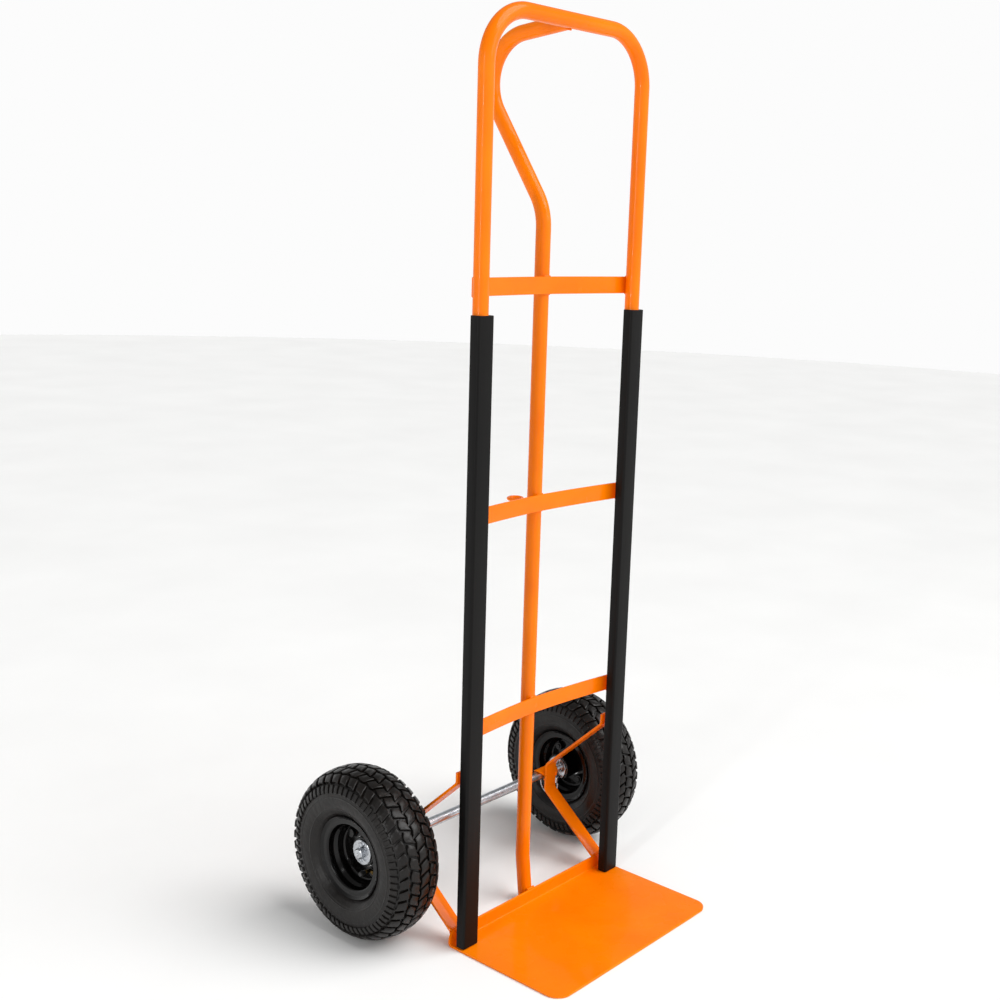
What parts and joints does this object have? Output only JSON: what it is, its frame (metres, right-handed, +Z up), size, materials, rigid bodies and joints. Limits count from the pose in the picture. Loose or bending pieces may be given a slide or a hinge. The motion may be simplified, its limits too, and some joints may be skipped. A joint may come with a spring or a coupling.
{
  "type": "hand truck",
  "caption": "Upright hand truck: bent-tube frame with a loop handle at the back, strap crossbars, guard strips, a flat toe plate and pneumatic wheels on a fixed axle.",
  "frame": {"origin": "on the floor under the toe plate, midway between the uprights and in the plane of their axes", "axes": "+Z up, +Y to the back where the wheels and the handle are, +X to the right seen from the toe plate's side"},
  "size_m": [0.552, 0.471, 1.3341],
  "materials": {
    "frame_paint": "gloss",
    "plate_paint": "gloss",
    "guard_plastic": "satin",
    "zinc_steel": "bright zinc plated",
    "tyre_rubber": "matt",
    "butyl_rubber": "matt",
    "rim_paint": "gloss",
    "valve_brass": "satin",
    "cap_plastic": "satin"
  },
  "bodies": {
    "frame": {"main_loop": "frame_paint", "centre_tube": "frame_paint", "crossbar_bottom": "frame_paint", "crossbar_middle": "frame_paint", "crossbar_top": "frame_paint", "tie_ring": "frame_paint", "toe_plate": "plate_paint", "guard_left": "guard_plastic", "guard_right": "guard_plastic", "bracket_left": "frame_paint", "bracket_right": "frame_paint", "sleeve_left": "frame_paint", "sleeve_right": "frame_paint", "axle": "zinc_steel", "inner_washers": "zinc_steel", "outer_washers": "zinc_steel", "split_pins": "zinc_steel", "linch_pin_left": "zinc_steel", "linch_pin_right": "zinc_steel"},
    "wheel_left": {"tyre_left": "tyre_rubber", "inner_tube_left": "butyl_rubber", "rim_outer_left": "rim_paint", "rim_inner_left": "rim_paint", "hub_left": "rim_paint", "bearings_left": "zinc_steel", "rim_bolts_left": "rim_paint", "rim_nuts_left": "rim_paint", "valve_left": "valve_brass", "valve_cap_left": "cap_plastic"},
    "wheel_right": {"tyre_right": "tyre_rubber", "inner_tube_right": "butyl_rubber", "rim_outer_right": "rim_paint", "rim_inner_right": "rim_paint", "hub_right": "rim_paint", "bearings_right": "zinc_steel", "rim_bolts_right": "rim_paint", "rim_nuts_right": "rim_paint", "valve_right": "valve_brass", "valve_cap_right": "cap_plastic"}
  },
  "joints": [
    {"name": "wheel_left_spin", "type": "hinge", "parent": "frame", "child": "wheel_left", "pos_m": [-0.234, 0.141, 0.13], "axis": [1, 0, 0], "continuous": true},
    {"name": "wheel_right_spin", "type": "hinge", "parent": "frame", "child": "wheel_right", "pos_m": [0.234, 0.141, 0.13], "axis": [1, 0, 0], "continuous": true}
  ]
}
